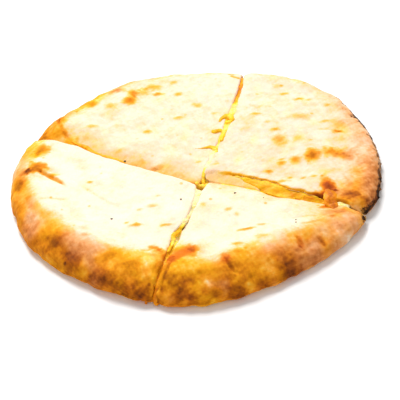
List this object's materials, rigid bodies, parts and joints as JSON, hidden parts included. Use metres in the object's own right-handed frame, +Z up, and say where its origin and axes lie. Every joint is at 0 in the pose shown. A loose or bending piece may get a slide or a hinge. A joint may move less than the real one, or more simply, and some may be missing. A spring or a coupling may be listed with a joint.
{
  "type": "cheese naan",
  "caption": "Round puffed flatbread filled with melted cheese, cut across into quarters that keep the round's shape, with cheese showing in the cuts.",
  "frame": {"origin": "middle of the round's box in plan, on the flat base that the naan rests on", "axes": "+Z up, out of the top crust; +Y towards the back, away from the picture's camera; +X to the right"},
  "size_m": [0.2606, 0.2514, 0.0193],
  "materials": {
    "bread": "baked dough with a matt cream crust, browned in patches towards the rim and charred in places at its edge",
    "cheese": "melted golden yellow cheese with a soft oily shine"
  },
  "bodies": {
    "root": {"bread_front_left": "bread", "bread_front_right": "bread", "bread_back_right": "bread", "bread_back_left": "bread", "cheese_front_left": "cheese", "cheese_front_right": "cheese", "cheese_back_right": "cheese", "cheese_back_left": "cheese"}
  },
  "joints": []
}
